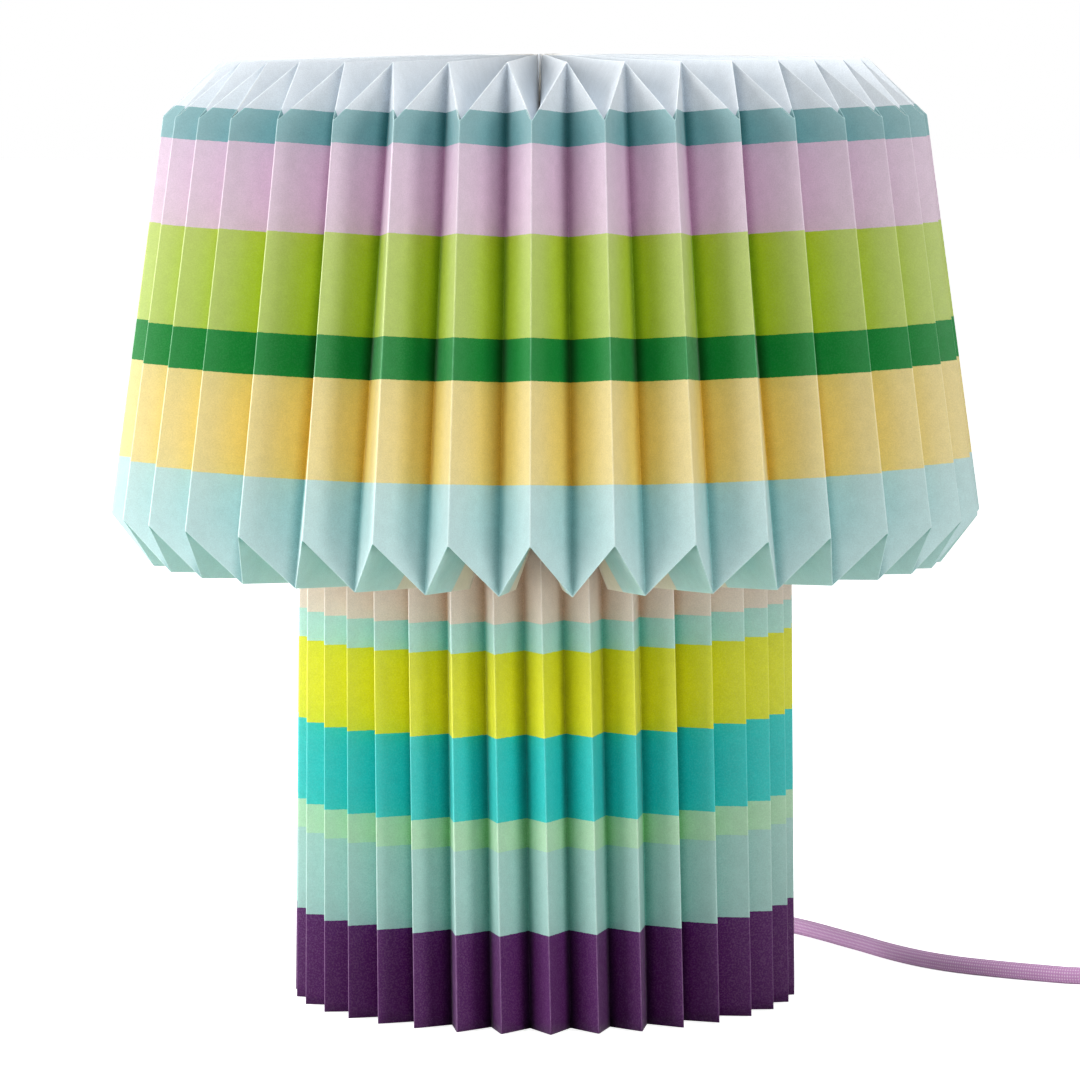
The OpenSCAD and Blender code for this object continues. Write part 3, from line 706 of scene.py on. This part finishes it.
# Slot at the rear for the lead
SLOT_HALF_WIDTH = 8.8
SLOT_TOP = 21
cut = bmesh.new()
cut.from_mesh(sleeve.data)
slot = []
for face in cut.faces:
    x, y, z = face.calc_center_median() / MM
    if abs(x) < SLOT_HALF_WIDTH and y > 0 and z < SLOT_TOP:
        slot.append(face)
bmesh.ops.delete(cut, geom=slot, context="FACES")
cut.to_mesh(sleeve.data)
cut.free()
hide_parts("base_paper")
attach(sleeve, "root")


# ---- Fittings --------------------------------------------------------------
LOOKS = {
    "frame_wire": plain("frame_wire", "#F1F0EC", 0.42, bump=0.25, grain=1800),
    "pin_steel": plain("pin_steel", "#B4B6BA", 0.3, 1.0),
    "plate_steel": plain("plate_steel", "#3E3F42", 0.6, bump=0.5, grain=1500, depth=0.0001),
    "foot_rubber": plain("foot_rubber", "#1B1B1C", 0.75, bump=0.3),
    "stem_steel": plain("stem_steel", "#BFC1C4", 0.32, 1.0, spot=0.1),
    "screw_steel": plain("screw_steel", "#B9BABD", 0.28, 1.0),
    "disc_steel": plain("disc_steel", "#F1F0EC", 0.45, bump=0.25, grain=1800),
    "holder_plastic": plain("holder_plastic", "#EDE9DD", 0.24, spot=0.02),
    "holder_ceramic": plain("holder_ceramic", "#F0EEE8", 0.2, spot=0.02),
    "holder_brass": plain("holder_brass", "#C9A24A", 0.28, 1.0),
    "clamp_plastic": plain("clamp_plastic", "#202022", 0.5),
    "relief_rubber": plain("relief_rubber", LILAC, 0.6),
    "textile_cord": plain("textile_cord", "#BE91BE", 0.8, spot=0.12, bump=0.5, grain=1600,
                          depth=0.0001),
    "bulb_metal": plain("bulb_metal", "#C6C7C9", 0.25, 1.0),
    "bulb_insulator": plain("bulb_insulator", "#1E1E20", 0.3),
    "bulb_plastic": plain("bulb_plastic", "#F2F2EF", 0.35, spot=0.02),
    "bulb_diffuser": plain("bulb_diffuser", "#F7F6F0", 0.4, spot=0.02, Subsurface_Weight=0.3),
    "led_white": plain("led_white", "#F3F3EE", 0.5),
    "rocker_plastic": plain("rocker_plastic", "#F1EEF2", 0.25, spot=0.02),
    "plug_metal": plain("plug_metal", "#C4B78F", 0.25, 1.0),
}
for row in frame["record"]["subparts"]:
    if row["material_slot"] in LOOKS:
        obj = nodes[row["node"]]
        obj.data.materials.clear()
        obj.data.materials.append(LOOKS[row["material_slot"]])


# ---- Floor, backdrop and lights -------------------------------------------
FLOOR_HALF = 15
FLOOR_GLOW = 0.9
floor_look = Nodes("floor")
seen = floor_look.add("LightPath").outputs["Is Camera Ray"]
floor_look.finish(Base_Color=(0.85, 0.85, 0.85, 1), Roughness=0.9, Emission_Color=(1, 1, 1, 1),
                  Emission_Strength=floor_look.math("MULTIPLY", seen, FLOOR_GLOW))
floor = bpy.data.meshes.new("floor")
corners = [(x * FLOOR_HALF, y * FLOOR_HALF, 0) for x, y in ((-1, -1), (1, -1), (1, 1), (-1, 1))]
floor.from_pydata(corners, [], [(0, 1, 2, 3)])
new_object("floor", floor, floor_look.material, smooth=False)


def area_light(name, at, target, size, power):
    data = bpy.data.lights.new(name, "AREA")
    data.shape = "RECTANGLE"
    data.size, data.size_y = size
    data.energy = power
    obj = bpy.data.objects.new(name, data)
    obj.location = at
    obj.rotation_euler = (Vector(target) - Vector(at)).to_track_quat("-Z", "Y").to_euler()
    scene.collection.objects.link(obj)


LAMP_MIDDLE = (0, 0, 0.17)
area_light("rim", (-1.6, 0.58, 0.2), LAMP_MIDDLE, size=(0.6, 0.6), power=31)
area_light("key", (-1.58, -0.72, 0.6), LAMP_MIDDLE, size=(1.4, 1.2), power=26)
area_light("fill", (1.25, -1.16, 0.6), LAMP_MIDDLE, size=(0.5, 1.2), power=11.4)
area_light("top", (0.0, -0.2, 1.7), (0, 0, 0.2), size=(1.2, 1.2), power=24.5)

# A white surround that hardly lights the lamp
SURROUND_SEEN = 1.0
SURROUND_LIT = 0.06
world = bpy.data.worlds.new("world")
world.use_nodes = True
tree = world.node_tree
sky = tree.nodes["Background"]
sky.inputs["Color"].default_value = (1, 1, 1, 1)
level = tree.nodes.new("ShaderNodeMapRange")
level.inputs["To Min"].default_value = SURROUND_SEEN
level.inputs["To Max"].default_value = SURROUND_LIT
tree.links.new(tree.nodes.new("ShaderNodeLightPath").outputs["Is Diffuse Ray"], level.inputs["Value"])
tree.links.new(level.outputs[0], sky.inputs["Strength"])
scene.world = world
scene.view_settings.view_transform = "Standard"
